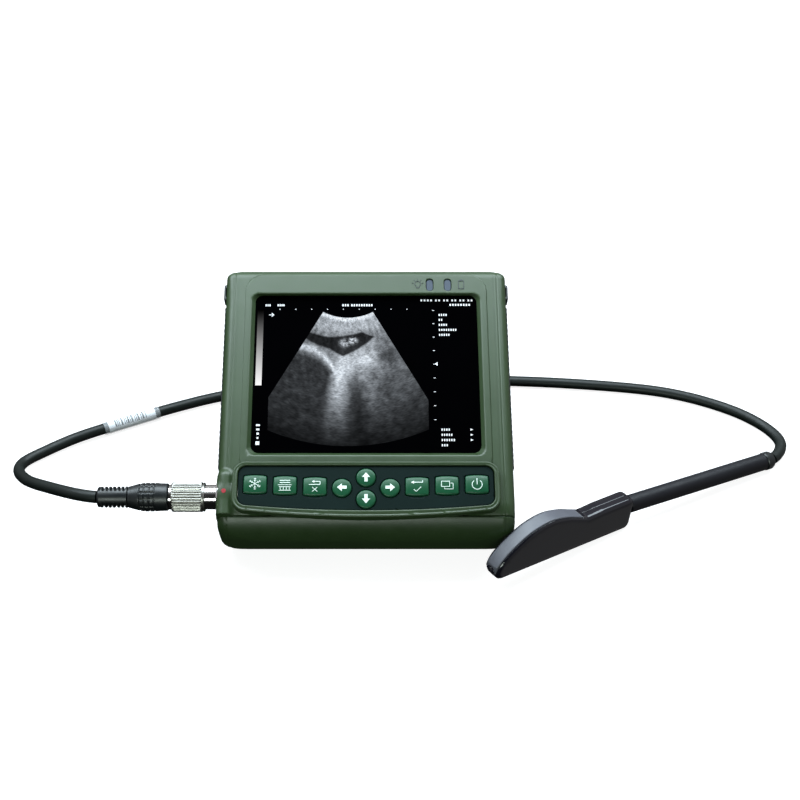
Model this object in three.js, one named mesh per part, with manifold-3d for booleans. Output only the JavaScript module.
// Palm-size veterinary ultrasound scanner with its rectal probe on a flexible lead.
// The scanner leans back on a fold-out rear stand, and its lead lies on the table behind it.
// Millimetres, +X to the reader's right, +Y away from the reader, +Z up. The origin is the middle
// of the underside of the rubber foot bar, which is the front edge that the scanner rests on.
// Pieces of the scanner are placed in its own axes, +X right, +Y up the face and +Z out of the face,
// from the middle of its bottom back edge. The probe has its own axes too, given where it is made.

import * as THREE from 'three';
import { mergeVertices } from 'three/addons/utils/BufferGeometryUtils.js';
import Module from 'manifold-3d';

const wasm = await Module();
wasm.setup();

// ---------------------------------------------------------------- driving dimensions

const GAP = 0.3;                 // clearance between neighbouring pieces
const LEAN = THREE.MathUtils.degToRad(30); // how far the scanner's back leans from the table
const FAR = 200;                 // beyond every piece, for cuts that run right through
const FACE_CUT = 30;             // openings in the face are cut from this height outwards
const WELD = 0.5;                // overlap where posts and pads grow out of a wall
const SLIVER = 0.01;             // keeps a half-round end's two arcs from meeting in one point

const CASE = {
  width: 147, height: 146, depth: 46,
  wall: 2.4,
  edge: 5,                       // rounding of the side edges
  bottomCorner: 9, topCorner: 4.5,
  backRound: 22, frontRound: 16, // rounding of the bottom, behind and in front
  topFront: 6, topBack: 7,
  split: 22,                     // height of the parting plane above the back
  seam: 9.4,                     // where the rear shell ends on the front face
};
const HALF_W = CASE.width / 2;
const INNER_X = HALF_W - CASE.wall;

const SCREEN = { width: 115, height: 87, middleY: 86.15, corner: 4, slope: 2, slopeDepth: 2.4, lip: 0.2 };
const WINDOW = { top: CASE.depth - CASE.wall - GAP, thick: 1.5, lap: 3 };
const LCD = { width: 122, height: 95, thick: 5.3 };
const BRACKET = { width: 120, height: 92, thick: 1.2 };

const ISLAND = { halfWidth: 66, top: 36.2, sideBottom: 10.4, bulge: 3.2, corner: 7, rise: 3.5, edge: 1.2 };
const PANEL = { halfWidth: 63.2, top: 34.1, sideBottom: 13.4, bulge: 2.6, corner: 4.5 };
const PLATE = { top: 48.2, thick: 1.3 };

const KEY = {
  width: 11.4, height: 9.8, corner: 1.2, roundRadius: 4.75,
  top: 49.3, edge: 0.4, hole: 0.35,
  flange: 0.8, roundFlange: 0.6, flangeThick: 1.5, flangeGap: 0.4,
  pitch: 14.7, rowStart: 25.1,   // rectangular keys, outwards from the middle
  rowY: 22.2, rowSlope: 0.038,   // the row climbs slightly towards both sides
  crossX: 11.85, crossUp: 5.6,   // the four arrow keys
};

const SOCKET = {
  y: 21.2, z: 38, radius: 8.6, bore: 6.45,
  bossRadius: 10, bossEdge: 1, bossEnd: -74.4, bossRoot: -63.6, holeEnd: -55,
};

const STAND = {
  hingeY: 110, hingeZ: 2.3, length: 54.8, halfWidth: 29.8, thick: 2.4,
  knuckle: 2, pin: 0.8, pinBore: 1.1, pinHalf: 33.6, pinRoom: 0.4, pad: 2.7, padThick: 3.2,
};
const TRAY = { halfWidth: 30.2, bottom: 53.6, top: 112.4, floor: 4.6, side: 4 };

const DOOR = { halfWidth: 42, low: 20.8, high: 47.2, outer: 0.2, thick: 2, room: 3 };
const LATCH = { halfWidth: 6, low: 41.8, high: 45.2, pocketLow: 38.4, outer: -0.5, inner: 2.2 };

const GRIP = { low: 38.5, high: 130.5, back: 12, front: 31, proud: 1.8, sunk: 1.2 };
const LUG = { low: 134.5, high: 144, back: 23.5, front: 31, reach: 76.2, root: 71.5, strap: [73.9, 75.2] };
const LIGHT = { y: 135.7, x: [33.4, 42.8], width: 3.3, height: 6.5, back: 43.6, front: 45.8 };
const POST = { x: 66.2, y: [37, 137], radius: 3.2, bore: 1.7, boreEnd: 40 };
const SCREW = { head: 2.7, recess: 3, recessDepth: 2, low: 0.2, under: 1.7, shank: 1.4, end: 36, slot: 0.7 };
const FEET = { x: 58, y: [26, 130], radius: 4.5, thick: 1.5 };
const FOOT_BAR = { halfLength: 45, halfWidth: 4, thick: 1.2, stand: 1.5 };

const PORT = { x: 40, halfWidth: 10, low: 27, high: 36, thick: 1.8, recess: 2.3, backing: 3, backingFrom: 140 };
const CHARGE = { halfWidth: 5, low: 29.8, high: 33.2, from: 135.5, to: 143.4, wall: 0.6, floor: 1.5 };

// Boxes of the inner parts: [x0, x1, y0, y1, z0, z1].
const BOARDS = {
  main_board: [-58, 58, 50, 130, 28, 29.6],
  probe_board: [-56, -12, 12, 36, 33, 34.6],
  keypad_board: [-59.5, 59.5, 14.2, 33.4, 42.2, 43.8],
};
const BATTERY = [-40, 40, 21.6, 46.4, 3.2, 21];

const CORD = { radius: 3.1, sides: 8, steps: 48 };
// Centreline of the lead from the strain relief to the probe's tube, laid on the table.
const ROUTE = [
  [-134, -8.7, 37], [-136.2, -8.45, 36.95], [-139.5, -7.4, 36.6], [-145.5, -4.9, 35.6], [-151.5, -0.8, 33.6],
  [-157.8, 4.3, 30.8],
  [-164.5, 10.6, 27.2], [-171.8, 17.8, 22.8], [-178.2, 25.8, 18], [-184.2, 35.4, 12.8], [-188.6, 44.9, 7.9],
  [-190.5, 53, 4.6], [-189.3, 58.6, 3.5], [-185.4, 63, 3.3], [-180.4, 67.2, 3.3], [-174.2, 72.3, 3.4],
  [-166.8, 77.7, 3.7], [-159, 82.2, 4.1], [-151, 86.5, 4.2], [-143.1, 90.7, 4.2], [-135.2, 94.9, 4.2],
  [-127.3, 99.1, 4.2], [-119.4, 103.3, 4.2], [-111.2, 107.7, 3.9], [-103, 112, 3.5], [-87.5, 119.2, 3.2],
  [-55, 128.5, 3.2], [0, 134.5, 3.2], [50, 135.8, 3.2], [92.5, 134.6, 3.2], [128, 131.6, 3.2],
  [163, 126.8, 3.2], [180.1, 122.4, 3.2], [196.5, 115.7, 3.2], [212.1, 106.4, 3.2], [221, 98.9, 3.2],
  [228.6, 90, 3.2], [232.6, 82, 3.3], [233.7, 75.4, 3.5], [231.9, 68.9, 3.9], [228.2, 63, 4.4],
  [224.6, 59.6, 4.9],
];
const LABEL = { from: 18.2, to: 21.9, inner: 3.55, outer: 4.1 }; // places along ROUTE, by index

const PROBE = {
  tip: [59.2, -38.9], yaw: THREE.MathUtils.degToRad(34.4),
  pitch: THREE.MathUtils.degToRad(6.7),
  length: 92.5, thick: 10.6, edge: 3, tailTop: 19.2, headEnd: 59.5, tailStart: 63.5, corner: 4, lift: 0.1,
};
const LENS = { from: 2, to: 56, thick: 1.9, halfWidth: 3.7, arrayThick: 4, arrayEnd: 4 };
const TUBE = { radius: 4.7, height: 11.9, ferrule: 5, ferruleLength: 5.2, endGap: 1.3 };

// ---------------------------------------------------------------- colours

const finish = (color, roughness, metalness = 0) => new THREE.MeshStandardMaterial({ color, roughness, metalness });
const GREEN = finish(0x4a6238, 0.45);
const PANEL_TEAL = finish(0x1c302f, 0.5);
const KEY_GREEN = finish(0x1f6a43, 0.35);
const RUBBER = finish(0x1b1c1e, 0.8);
const BLACK = finish(0x101013, 0.2);
const GLASS = finish(0x050506, 0.08);
const CHROME = finish(0xd8d8d6, 0.15, 1);
const STEEL = finish(0x9a9a98, 0.35, 1);
const BOARD = finish(0x1d5a36, 0.6);
const CELL = finish(0x2c5f9a, 0.5);
const LENS_GREY = finish(0x8d8f9a, 0.35);
const LAMP = finish(0x9fb0b8, 0.2);
const CLEAR = finish(0xdfe4e2, 0.15);

// ---------------------------------------------------------------- solids from three.js geometry

function solid(geometry) {
  const bare = geometry.clone();
  bare.deleteAttribute('normal');
  bare.deleteAttribute('uv');
  const merged = mergeVertices(bare, 1e-4);
  return new wasm.Manifold(new wasm.Mesh({
    numProp: 3,
    vertProperties: new Float32Array(merged.attributes.position.array),
    triVerts: new Uint32Array(merged.index.array),
  }));
}

function geometryOf(body) {
  const mesh = body.getMesh();
  const geometry = new THREE.BufferGeometry();
  geometry.setAttribute('position', new THREE.BufferAttribute(mesh.vertProperties, 3));
  geometry.setIndex(new THREE.BufferAttribute(mesh.triVerts, 1));
  geometry.computeVertexNormals();
  return geometry;
}

const join = (first, ...others) => others.reduce((body, other) => body.add(other), first);
const cut = (first, ...others) => others.reduce((body, other) => body.subtract(other), first);

function block(x0, x1, y0, y1, z0, z1) {
  const geometry = new THREE.BoxGeometry(x1 - x0, y1 - y0, z1 - z0);
  geometry.translate((x0 + x1) / 2, (y0 + y1) / 2, (z0 + z1) / 2);
  return solid(geometry);
}

// A shape drawn in X and Y, made solid from z0 to z1, with its end edges bevelled.
function alongZ(shape, z0, z1, bevel = 0, curveSegments = 4) {
  const geometry = new THREE.ExtrudeGeometry(shape, {
    depth: z1 - z0 - 2 * bevel, curveSegments,
    bevelEnabled: bevel > 0, bevelThickness: bevel, bevelSize: bevel, bevelOffset: -bevel, bevelSegments: 1,
  });
  geometry.translate(0, 0, z0 + bevel);
  return solid(geometry);
}

// A shape drawn in Y and Z, made solid from x0 to x1.
function alongX(shape, x0, x1, bevel = 0, curveSegments = 5) {
  const toSide = new THREE.Matrix4().makeBasis(
    new THREE.Vector3(0, 1, 0), new THREE.Vector3(0, 0, 1), new THREE.Vector3(1, 0, 0));
  const geometry = new THREE.ExtrudeGeometry(shape, {
    depth: x1 - x0 - 2 * bevel, curveSegments,
    bevelEnabled: bevel > 0, bevelThickness: bevel, bevelSize: bevel, bevelOffset: -bevel,
    bevelSegments: bevel > 2 ? 3 : 1,
  });
  geometry.translate(0, 0, x0 + bevel);
  return solid(geometry.applyMatrix4(toSide));
}

// A turned body about the line parallel to X through (y, z). Profile points are [x, radius].
function turnedX(profile, y, z, segments = 20) {
  const geometry = new THREE.LatheGeometry(profile.map(([x, r]) => new THREE.Vector2(r, x)), segments);
  geometry.rotateZ(-Math.PI / 2);
  geometry.translate(0, y, z);
  return solid(geometry);
}

function diskZ(x, y, radius, z0, z1, segments = 20) {
  const geometry = new THREE.CylinderGeometry(radius, radius, z1 - z0, segments);
  geometry.rotateX(Math.PI / 2);
  geometry.translate(x, y, (z0 + z1) / 2);
  return solid(geometry);
}

function roundedRect(x0, y0, x1, y1, radii) {
  const [r1, r2, r3, r4] = Array.isArray(radii) ? radii : [radii, radii, radii, radii];
  const shape = new THREE.Shape();
  shape.moveTo(x0 + r1, y0);
  shape.lineTo(x1 - r2, y0);
  shape.absarc(x1 - r2, y0 + r2, r2, -Math.PI / 2, 0, false);
  shape.lineTo(x1, y1 - r3);
  shape.absarc(x1 - r3, y1 - r3, r3, 0, Math.PI / 2, false);
  shape.lineTo(x0 + r4, y1);
  shape.absarc(x0 + r4, y1 - r4, r4, Math.PI / 2, Math.PI, false);
  shape.lineTo(x0, y0 + r1);
  shape.absarc(x0 + r1, y0 + r1, r1, Math.PI, 1.5 * Math.PI, false);
  return shape;
}

// The keypad's outline: straight on top and at the sides, with a bottom edge that bulges down.
function keypadOutline({ halfWidth, top, sideBottom, bulge, corner }, inset) {
  const w = halfWidth - inset;
  const r = corner - inset;
  const t = top - inset;
  const b = sideBottom + inset;
  const shape = new THREE.Shape();
  shape.moveTo(w, b + r);
  shape.lineTo(w, t - r);
  shape.absarc(w - r, t - r, r, 0, Math.PI / 2, false);
  shape.lineTo(-w + r, t);
  shape.absarc(-w + r, t - r, r, Math.PI / 2, Math.PI, false);
  shape.lineTo(-w, b + r);
  const turned = 0.42 * Math.PI;   // how far each bottom corner turns before the bulging edge
  const bottomX = w - r + r * Math.cos(turned);
  shape.absarc(-w + r, b + r, r, Math.PI, Math.PI + turned, false);
  shape.quadraticCurveTo(0, b - 2 * bulge, bottomX, b + r - r * Math.sin(turned));
  shape.absarc(w - r, b + r, r, 2 * Math.PI - turned, 2 * Math.PI, false);
  return shape;
}

// Side view of the case, grown or shrunk all round.
function caseProfile(inset) {
  const { height, depth, backRound, frontRound, topFront, topBack } = CASE;
  const radii = [backRound, topBack, topFront, frontRound].map((r) => Math.max(r - inset, 1));
  return roundedRect(inset, inset, height - inset, depth - inset, radii);
}

// ---------------------------------------------------------------- assembly tree

const object = new THREE.Group();
const scanner = new THREE.Group();
scanner.rotation.x = LEAN;
// The lowest line of the bottom's back rounding stands FOOT_BAR.stand above the origin.
const lowest = new THREE.Vector3(0, CASE.backRound * (1 - Math.sin(LEAN)), CASE.backRound * (1 - Math.cos(LEAN)));
const lowestTurned = lowest.clone().applyAxisAngle(new THREE.Vector3(1, 0, 0), LEAN);
scanner.position.set(0, -lowestTurned.y, FOOT_BAR.stand - lowestTurned.z);
object.add(scanner);

function piece(name, body, material, parent = scanner) {
  const mesh = new THREE.Mesh(geometryOf(body), material);
  mesh.name = name;
  parent.add(mesh);
  return mesh;
}

// ---------------------------------------------------------------- housing

// The outline of the case seen from the front, as a prism through it.
function facePrism(inset) {
  const { height, depth, bottomCorner, topCorner } = CASE;
  const bottom = bottomCorner - inset;
  const top = topCorner - inset;
  return alongZ(roundedRect(-HALF_W + inset, inset, HALF_W - inset, height - inset, [bottom, bottom, top, top]),
    -1, depth + 1);
}

function caseShell() {
  const outside = alongX(caseProfile(0), -HALF_W, HALF_W, CASE.edge).intersect(facePrism(0));
  const inside = alongX(caseProfile(CASE.wall), -INNER_X, INNER_X).intersect(facePrism(CASE.wall));
  return cut(outside, inside);
}

function gripCut(side) {
  const x = side * (HALF_W - GRIP.sunk);
  return block(Math.min(x, side * FAR), Math.max(x, side * FAR),
    GRIP.low - GAP, GRIP.high + GAP, GRIP.back - GAP, GRIP.front + GAP);
}

function frontCase() {
  const { seam, split, depth, wall } = CASE;
  const frontPart = block(-FAR, FAR, seam + GAP / 2, FAR, split + GAP / 2, FAR);
  let body = caseShell().intersect(frontPart);

  const islandBlock = alongZ(keypadOutline(ISLAND, 0), depth - wall, depth + ISLAND.rise, ISLAND.edge);
  const bottomRound = alongX(caseProfile(-GAP), -FAR / 2, FAR / 2)
    .intersect(block(-FAR, FAR, -FAR, seam + GAP / 2, -FAR, FAR));
  body = join(body, cut(islandBlock, bottomRound));

  for (const x of [-POST.x, POST.x]) {
    for (const y of POST.y) body = join(body, diskZ(x, y, POST.radius, split + GAP / 2, depth - wall + WELD, 14));
  }
  const { y, z, bossRadius, bossEdge, bossEnd, bossRoot, holeEnd, radius } = SOCKET;
  const boss = turnedX([[bossEnd, 0], [bossEnd, bossRadius - bossEdge], [bossEnd + bossEdge, bossRadius],
    [bossRoot, bossRadius], [bossRoot, 0]], y, z, 28);
  const portBacking = block(PORT.x - PORT.halfWidth - PORT.backing, PORT.x + PORT.halfWidth + PORT.backing,
    PORT.backingFrom, CASE.height - 2, PORT.low - PORT.backing, PORT.high + PORT.backing);
  body = join(body, boss, portBacking);

  const halfW = SCREEN.width / 2 + SCREEN.slope;
  const halfH = SCREEN.height / 2 + SCREEN.slope;
  const pocket = new THREE.ExtrudeGeometry(
    roundedRect(-halfW, SCREEN.middleY - halfH, halfW, SCREEN.middleY + halfH, SCREEN.corner + SCREEN.slope),
    { depth: FAR, curveSegments: 5, bevelEnabled: true, bevelThickness: SCREEN.slopeDepth + 2 * SCREEN.lip,
      bevelSize: SCREEN.slope, bevelOffset: -SCREEN.slope, bevelSegments: 1 });
  pocket.translate(0, 0, depth + SCREEN.lip);
  body = cut(body,
    solid(pocket),
    alongZ(roundedRect(-SCREEN.width / 2, SCREEN.middleY - SCREEN.height / 2, SCREEN.width / 2,
      SCREEN.middleY + SCREEN.height / 2, SCREEN.corner), FACE_CUT, FAR),
    alongZ(keypadOutline(PANEL, 0), FACE_CUT, FAR),
    turnedX([[-FAR, 0], [-FAR, radius + GAP], [holeEnd, radius + GAP], [holeEnd, 0]], y, z, 24),
    gripCut(-1), gripCut(1));
  for (const x of LIGHT.x) {
    const w = LIGHT.width / 2 + GAP;
    const h = LIGHT.height / 2 + GAP;
    body = cut(body, alongZ(roundedRect(x - w, LIGHT.y - h, x + w, LIGHT.y + h, w - SLIVER), FACE_CUT, FAR, 0, 3));
  }
  for (const side of [-1, 1]) {
    const near = side * (LUG.root - GAP);
    body = cut(body, block(Math.min(near, side * FAR), Math.max(near, side * FAR),
      LUG.low - GAP, LUG.high + GAP, LUG.back - GAP, LUG.front + GAP));
    for (const py of POST.y) body = cut(body, diskZ(side * POST.x, py, POST.bore, -FAR, POST.boreEnd, 12));
  }
  const { halfWidth, low, high } = PORT;
  body = cut(body,
    block(PORT.x - halfWidth - GAP, PORT.x + halfWidth + GAP, CASE.height - PORT.recess, FAR, low - GAP, high + GAP),
    block(PORT.x - CHARGE.halfWidth - GAP, PORT.x + CHARGE.halfWidth + GAP, CHARGE.from - GAP, FAR,
      CHARGE.low - GAP, CHARGE.high + GAP));
  return piece('front_case', body, GREEN);
}

function rearCase() {
  const { seam, split, wall } = CASE;
  let body = cut(caseShell(), block(-FAR, FAR, seam - GAP / 2, FAR, split - GAP / 2, FAR));
  for (const x of [-POST.x, POST.x]) {
    for (const y of POST.y) body = join(body, diskZ(x, y, POST.radius, wall - WELD, split - GAP / 2, 14));
  }
  // A tray in the back holds the folded stand.
  body = join(body, block(-TRAY.halfWidth - TRAY.side, TRAY.halfWidth + TRAY.side,
    TRAY.bottom - wall, TRAY.top + wall, wall - WELD, TRAY.floor + wall));
  const pinReach = STAND.pinHalf + STAND.pinRoom;
  body = cut(body,
    block(-TRAY.halfWidth, TRAY.halfWidth, TRAY.bottom, TRAY.top, -FAR, TRAY.floor),
    turnedX([[-pinReach, 0], [-pinReach, STAND.pinBore], [pinReach, STAND.pinBore], [pinReach, 0]],
      STAND.hingeY, STAND.hingeZ, 12),
    block(-DOOR.halfWidth - GAP, DOOR.halfWidth + GAP, DOOR.low - GAP, DOOR.high + GAP, -FAR, DOOR.room),
    gripCut(-1), gripCut(1));
  for (const x of [-POST.x, POST.x]) {
    for (const y of POST.y) {
      body = cut(body, diskZ(x, y, POST.bore, -FAR, FAR, 12), diskZ(x, y, SCREW.recess, -FAR, SCREW.recessDepth, 16));
    }
  }
  return piece('rear_case', body, GREEN);
}

function caseScrew(index, x, y) {
  const { head: headRadius, low, under, shank: shankRadius, end, slot: slotWidth } = SCREW;
  const head = diskZ(x, y, headRadius, low, under, 16);
  const shank = diskZ(x, y, shankRadius, under - WELD, end, 10);
  const slot = block(x - 2, x + 2, y - slotWidth / 2, y + slotWidth / 2, -FAR, (low + under) / 2);
  return piece(`case_screw_${index}`, cut(join(head, shank), slot), STEEL);
}

function grip(name, side) {
  const inner = HALF_W - GRIP.sunk + GAP;
  const outer = HALF_W + GRIP.proud;
  const body = alongX(roundedRect(GRIP.low, GRIP.back, GRIP.high, GRIP.front, 3),
    side > 0 ? inner : -outer, side > 0 ? outer : -inner, 0.6, 3);
  return piece(name, body, RUBBER);
}

function strapLug(name, side) {
  const outline = roundedRect(LUG.low, LUG.back, LUG.high, LUG.front, 1.5);
  const body = alongX(outline, side > 0 ? LUG.root : -LUG.reach, side > 0 ? LUG.reach : -LUG.root, 0.7, 2);
  const [near, far] = LUG.strap.map((x) => side * x);
  const slot = block(Math.min(near, far), Math.max(near, far), LUG.low + 2, LUG.high - 2, -FAR, FAR);
  return piece(name, cut(body, slot), RUBBER);
}

function rearFoot(index, x, y) {
  const { radius, thick } = FEET;
  const geometry = new THREE.CylinderGeometry(radius, radius - 0.6, thick - GAP, 20);
  geometry.rotateX(Math.PI / 2);
  geometry.translate(x, y, -GAP - (thick - GAP) / 2);
  return piece(`rear_foot_${index}`, solid(geometry), RUBBER);
}

function footBar() {
  const { halfLength, halfWidth, thick } = FOOT_BAR;
  return piece('foot_bar', alongZ(roundedRect(-halfLength, -halfWidth, halfLength, halfWidth, 2), 0, thick), RUBBER, object);
}

// ---------------------------------------------------------------- stand

// Drawn folded flat into its tray, pointing down the back from its hinge, then opened.
function stand() {
  const group = new THREE.Group();
  group.position.set(0, STAND.hingeY, STAND.hingeZ);
  const hinge = group.position.clone().applyAxisAngle(new THREE.Vector3(1, 0, 0), LEAN).add(scanner.position);
  const footTilt = Math.acos(hinge.z / STAND.length);   // between the plate and the upright
  const openAngle = Math.PI / 2 + footTilt - LEAN;
  group.rotation.x = openAngle;
  scanner.add(group);

  const { halfWidth, thick, knuckle, pinBore, pad, padThick, length } = STAND;
  const plateEnd = length - pad - GAP;
  let plate = join(
    alongX(roundedRect(-plateEnd, -thick / 2, 0, thick / 2, 0.5), -halfWidth, halfWidth, 0, 2),
    turnedX([[-halfWidth, 0], [-halfWidth, knuckle], [halfWidth, knuckle], [halfWidth, 0]], 0, 0, 16));
  plate = cut(plate, turnedX([[-FAR, 0], [-FAR, pinBore], [FAR, pinBore], [FAR, 0]], 0, 0, 12));
  piece('stand_plate', plate, GREEN, group);

  // The pad's end is cut level with the table.
  const drop = (padThick / 2) * Math.tan(footTilt);
  const side = new THREE.Shape();
  side.moveTo(-plateEnd - GAP, -padThick / 2);
  side.lineTo(-plateEnd - GAP, padThick / 2);
  side.lineTo(-length + drop, padThick / 2);
  side.lineTo(-length - drop, -padThick / 2);
  piece('stand_pad', alongX(side, -halfWidth, halfWidth), RUBBER, group);

  const { pin, pinHalf, hingeY, hingeZ } = STAND;
  piece('stand_pin', turnedX([[-pinHalf, 0], [-pinHalf, pin], [pinHalf, pin], [pinHalf, 0]], hingeY, hingeZ, 12), STEEL);
}

// ---------------------------------------------------------------- screen and boards

function display() {
  const { lap, top, thick } = WINDOW;
  const halfW = SCREEN.width / 2 + lap;
  const halfH = SCREEN.height / 2 + lap;
  const y = SCREEN.middleY;
  const sheet = roundedRect(-halfW, y - halfH, halfW, y + halfH, lap);
  piece('display_window', alongZ(sheet, top - thick, top), GLASS);

  function layer({ width, height, thick: layerThick }, layerTop) {
    return block(-width / 2, width / 2, y - height / 2, y + height / 2, layerTop - layerThick, layerTop);
  }
  const lcdTop = top - thick - GAP;
  piece('lcd_panel', layer(LCD, lcdTop), BLACK);
  piece('lcd_bracket', layer(BRACKET, lcdTop - LCD.thick - GAP), STEEL);
}

function statusLights() {
  const names = ['power_led_lens', 'battery_led_lens'];
  names.forEach((name, i) => {
    const x = LIGHT.x[i];
    const w = LIGHT.width / 2;
    const h = LIGHT.height / 2;
    const outline = roundedRect(x - w, LIGHT.y - h, x + w, LIGHT.y + h, w - SLIVER);
    piece(name, alongZ(outline, LIGHT.back, LIGHT.front, 0, 4), LAMP);
  });
}

function boards() {
  for (const [name, box] of Object.entries(BOARDS)) piece(name, block(...box), BOARD);
}

function battery() {
  piece('battery_pack', block(...BATTERY), CELL);
  const { halfWidth, low, high, outer, thick } = DOOR;
  const hingeRound = thick / 2 - SLIVER;
  const outline = roundedRect(low, outer, high, outer + thick, [hingeRound, 0.2, 0.2, hingeRound]);
  const pocket = block(-LATCH.halfWidth - GAP, LATCH.halfWidth + GAP, LATCH.pocketLow, LATCH.high + GAP, -FAR, FAR);
  piece('battery_door', cut(alongX(outline, -halfWidth, halfWidth), pocket), GREEN);
  const latch = block(-LATCH.halfWidth, LATCH.halfWidth, LATCH.low, LATCH.high, LATCH.outer, LATCH.inner);
  piece('battery_latch', latch, RUBBER);
}

function chargePort() {
  const { x, halfWidth, low, high, thick } = PORT;
  const inside = CHARGE.halfWidth - CHARGE.wall;
  const body = block(x - CHARGE.halfWidth, x + CHARGE.halfWidth, CHARGE.from, CHARGE.to, CHARGE.low, CHARGE.high);
  const hollow = block(x - inside, x + inside, CHARGE.from + CHARGE.floor, FAR,
    CHARGE.low + CHARGE.wall, CHARGE.high - CHARGE.wall);
  piece('charge_socket', cut(body, hollow), STEEL);
  const top = CASE.height - DOOR.outer;
  const hingeRound = thick / 2 - SLIVER;
  const outline = roundedRect(top - thick, low, top, high, [hingeRound, hingeRound, 0.3, 0.3]);
  piece('port_cover', alongX(outline, x - halfWidth, x + halfWidth), RUBBER);
}

// ---------------------------------------------------------------- keypad

function keyPlaces() {
  const rows = ['key_freeze', 'key_menu', 'key_escape', 'key_enter', 'key_mode', 'key_power'];
  const places = rows.map((name, i) => {
    const side = i < 3 ? -1 : 1;
    const step = i < 3 ? 2 - i : i - 3;
    const x = side * (KEY.rowStart + KEY.pitch * step);
    return { name, x, y: KEY.rowY + KEY.rowSlope * Math.abs(x), round: false };
  });
  for (const [name, x, y] of [
    ['key_left', -KEY.crossX, KEY.rowY + 0.25], ['key_right', KEY.crossX, KEY.rowY + 0.25],
    ['key_up', 0, KEY.rowY + KEY.crossUp], ['key_down', 0, KEY.rowY - KEY.crossUp],
  ]) places.push({ name, x, y, round: true });
  return places;
}

function keyBody({ x, y, round }, grow, z0, z1, bevel = 0) {
  if (round) {
    const shape = new THREE.Shape();
    shape.absarc(x, y, KEY.roundRadius + grow, 0, 2 * Math.PI, false);
    return alongZ(shape, z0, z1, bevel, 9);
  }
  const w = KEY.width / 2 + grow;
  const h = KEY.height / 2 + grow;
  return alongZ(roundedRect(x - w, y - h, x + w, y + h, KEY.corner + grow), z0, z1, bevel, 2);
}

function keypad() {
  const places = keyPlaces();
  const plateBottom = PLATE.top - PLATE.thick;
  let plate = alongZ(keypadOutline(PANEL, GAP), plateBottom, PLATE.top);
  for (const place of places) plate = cut(plate, keyBody(place, KEY.hole, FACE_CUT, FAR));
  piece('keypad_plate', plate, PANEL_TEAL);
  const flangeTop = plateBottom - KEY.flangeGap;
  for (const place of places) {
    const flange = keyBody(place, place.round ? KEY.roundFlange : KEY.flange, flangeTop - KEY.flangeThick, flangeTop)
      .intersect(alongZ(keypadOutline(PANEL, 2 * GAP), FACE_CUT, FAR));
    const cap = keyBody(place, 0, flangeTop - WELD, KEY.top, KEY.edge);
    piece(place.name, join(cap, flange), KEY_GREEN);
  }
}

// ---------------------------------------------------------------- probe socket, plug and lead

// Turned profiles are [x, radius], about the socket's axis.
function plug() {
  const { y, z, radius, bore } = SOCKET;
  piece('probe_socket', turnedX([[-66, 0], [-66, bore], [-73.6, bore], [-73.6, radius], [-65.2, radius],
    [-65.2, 5.5], [-60.5, 5.5], [-60.5, 0]], y, z, 24), CHROME);
  piece('socket_nut', turnedX([[-63.3, 6.7], [-63.3, 8.5], [-61.2, 8.5], [-61.2, 6.7], [-63.3, 6.7]], y, z, 6), STEEL);
  piece('plug_shell', turnedX([[-97.8, 0], [-97.8, 6.1], [-66.4, 6.1], [-66.4, 0]], y, z, 24), CHROME);
  piece('plug_sleeve', turnedX([[-79.9, 6.5], [-96.5, 6.5], [-96.5, 7.2], [-95.9, 7.7], [-80.5, 7.7], [-79.9, 7.2],
    [-79.9, 6.5]], y, z, 24), STEEL);
  piece('plug_boot', turnedX([[-118, 0], [-118, 5.6], [-109, 7.2], [-98.1, 7.2], [-98.1, 0]], y, z, 24), RUBBER);
  piece('strain_relief', turnedX([[-133.3, 0], [-133.3, 5.4], [-118.3, 5.6], [-118.3, 0]], y, z, 20), RUBBER);
}

const route = new THREE.CatmullRomCurve3(ROUTE.map((p) => new THREE.Vector3(...p)), false, 'centripetal');

function regularPolygon(radius, sides) {
  const corners = [];
  for (let i = 0; i < sides; i += 1) {
    const turn = (i / sides) * 2 * Math.PI;
    corners.push(new THREE.Vector2(radius * Math.cos(turn), radius * Math.sin(turn)));
  }
  return new THREE.Shape(corners);
}

function lead() {
  const cable = new THREE.ExtrudeGeometry(regularPolygon(CORD.radius, CORD.sides), {
    steps: CORD.steps, bevelEnabled: false, extrudePath: route,
  });
  piece('cable', solid(cable), RUBBER, object);

  // The label's clear sleeve lies round a straight stretch of the lead.
  const last = ROUTE.length - 1;
  const start = route.getPoint(LABEL.from / last);
  const end = route.getPoint(LABEL.to / last);
  const group = new THREE.Group();
  group.position.copy(start);
  group.quaternion.setFromUnitVectors(new THREE.Vector3(1, 0, 0), end.clone().sub(start).normalize());
  object.add(group);
  const length = start.distanceTo(end);
  const { inner, outer } = LABEL;
  const sleeve = turnedX([[0, inner], [0, outer], [length, outer], [length, inner], [0, inner]], 0, 0, 16);
  piece('cable_label', sleeve, CLEAR, group);
}

// ---------------------------------------------------------------- probe

// The probe's own axes: +X from tip to tail along its straight edge, +Y across it, +Z up from that edge.
// Its tail and the far end of its stiff tube rest on the table, which lifts the tip a little.
const probe = new THREE.Group();
probe.position.set(...PROBE.tip, PROBE.length * Math.sin(PROBE.pitch) + PROBE.lift);
probe.rotation.set(0, PROBE.pitch, PROBE.yaw, 'ZYX');
object.add(probe);

// The upper edge of the half-leaf head, from the tip to the neck.
const headTop = new THREE.CatmullRomCurve3([
  [0.3, 4.6], [2.8, 8.9], [7, 13.6], [13, 18.4], [22, 23.5], [33.5, 25.9], [45, 24], [52.5, 21.2], [60, 18.3],
].map(([x, z]) => new THREE.Vector3(x, 0, z)));

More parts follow.
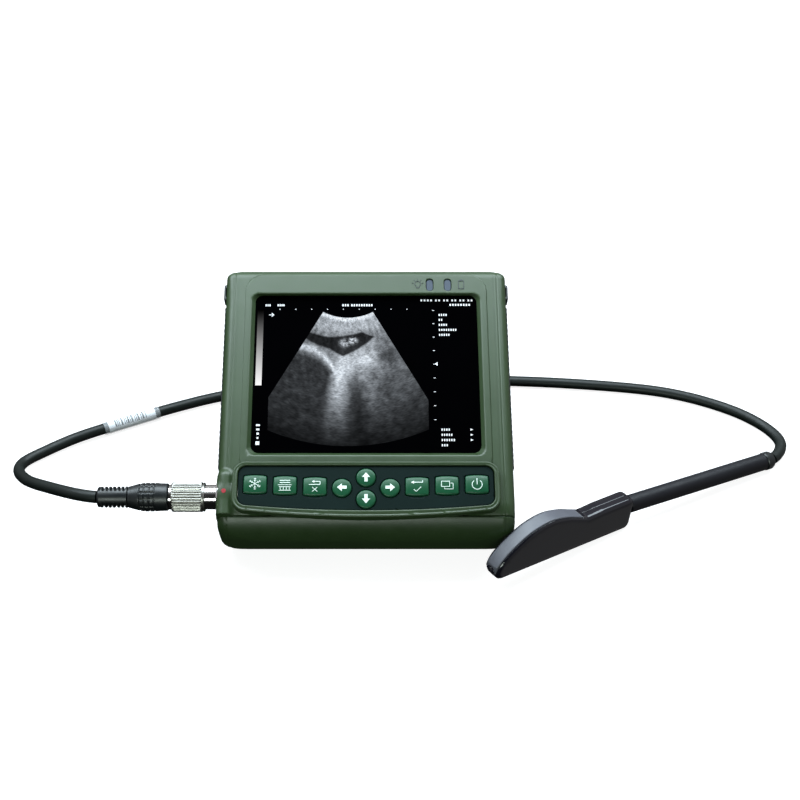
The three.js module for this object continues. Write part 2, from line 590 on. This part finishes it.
// Points of the upper edge, moved inwards by a distance.
function topEdge(from, to, inwards, count = 14) {
  const points = [];
  for (let i = 0; i <= count; i += 1) {
    const x = from + (to - from) * (i / count);
    let u = 0.5;
    for (let step = 0.25; step > 1e-4; step /= 2) u += headTop.getPoint(u).x < x ? step : -step;
    const p = headTop.getPoint(u);
    const t = headTop.getTangent(u);
    points.push(new THREE.Vector2(p.x + t.z * inwards, p.z - t.x * inwards));
  }
  return points;
}

function probeOutline() {
  const { length, corner, tailTop, tailStart, headEnd, lift } = PROBE;
  const shape = new THREE.Shape();
  shape.moveTo(corner, lift);
  shape.lineTo(length - corner, lift);
  shape.absarc(length - corner, lift + corner, corner, -Math.PI / 2, 0, false);
  shape.lineTo(length, tailTop - corner);
  shape.absarc(length - corner, tailTop - corner, corner, 0, Math.PI / 2, false);
  shape.lineTo(tailStart, tailTop);
  for (const p of topEdge(1, headEnd, 0).reverse()) shape.lineTo(p.x, p.y);
  shape.lineTo(1.2, 2.2);
  return shape;
}

// A shape drawn in the probe's X and Z, made solid across it from y0 to y1.
function acrossProbe(shape, y0, y1, bevel = 0) {
  const geometry = new THREE.ExtrudeGeometry(shape, {
    depth: y1 - y0 - 2 * bevel, curveSegments: 4,
    bevelEnabled: bevel > 0, bevelThickness: bevel, bevelSize: bevel * 0.8, bevelOffset: -bevel * 0.8, bevelSegments: 2,
  });
  geometry.rotateX(Math.PI / 2);
  geometry.translate(0, y1 - bevel, 0);
  return solid(geometry);
}

// A band under the upper edge, between two depths.
function edgeBand(from, to, outerDepth, innerDepth) {
  return new THREE.Shape([...topEdge(from, to, outerDepth), ...topEdge(from, to, innerDepth).reverse()]);
}

function probeHead() {
  const { halfWidth, from, to, thick, arrayThick, arrayEnd } = LENS;
  const half = PROBE.thick / 2;
  const outside = acrossProbe(probeOutline(), -half, half, PROBE.edge);
  const lensSpace = acrossProbe(edgeBand(from - GAP, to + GAP, -4, thick + GAP), -halfWidth - GAP, halfWidth + GAP);
  const arraySpace = acrossProbe(edgeBand(from + arrayEnd - 1, to - arrayEnd + 1, thick, thick + arrayThick + 1),
    -halfWidth, halfWidth);
  const shell = cut(outside, lensSpace, arraySpace);
  piece('probe_shell_left', shell.intersect(block(-FAR, FAR, -FAR, -GAP / 2, -FAR, FAR)), BLACK, probe);
  piece('probe_shell_right', shell.intersect(block(-FAR, FAR, GAP / 2, FAR, -FAR, FAR)), BLACK, probe);
  piece('acoustic_lens', acrossProbe(edgeBand(from, to, 0, thick), -halfWidth, halfWidth), LENS_GREY, probe);
  const array = edgeBand(from + arrayEnd, to - arrayEnd, thick + GAP, thick + arrayThick);
  piece('transducer_array', acrossProbe(array, -halfWidth + GAP, halfWidth - GAP), STEEL, probe);
}

function handle() {
  const tail = probe.localToWorld(new THREE.Vector3(PROBE.length + GAP, 0, TUBE.height));
  const end = new THREE.Vector3(...ROUTE[ROUTE.length - 1]);
  const direction = end.clone().sub(tail).normalize();
  const group = new THREE.Group();
  group.position.copy(tail);
  group.quaternion.setFromUnitVectors(new THREE.Vector3(1, 0, 0), direction);
  object.add(group);
  const { radius, ferrule, ferruleLength, endGap } = TUBE;
  const length = tail.distanceTo(end) - ferruleLength - GAP - endGap;
  const start = length + GAP;
  const stop = start + ferruleLength;
  piece('handle_tube', turnedX([[2 * GAP, 0], [2 * GAP, radius], [length, radius], [length, 0]], 0, 0, 20), BLACK, group);
  piece('tube_ferrule', turnedX([[start, 0], [start, ferrule], [stop, ferrule], [stop, 0]], 0, 0, 20), RUBBER, group);
}

frontCase();
rearCase();
let screwIndex = 1;
for (const y of POST.y) {
  for (const x of [-POST.x, POST.x]) {
    caseScrew(screwIndex, x, y);
    screwIndex += 1;
  }
}
grip('left_grip', -1);
grip('right_grip', 1);
strapLug('left_strap_lug', -1);
strapLug('right_strap_lug', 1);
let footIndex = 1;
for (const y of FEET.y) {
  for (const x of [-FEET.x, FEET.x]) {
    rearFoot(footIndex, x, y);
    footIndex += 1;
  }
}
footBar();
stand();
display();
statusLights();
boards();
battery();
chargePort();
keypad();
plug();
lead();
object.updateMatrixWorld(true);
probeHead();
handle();

export default object;
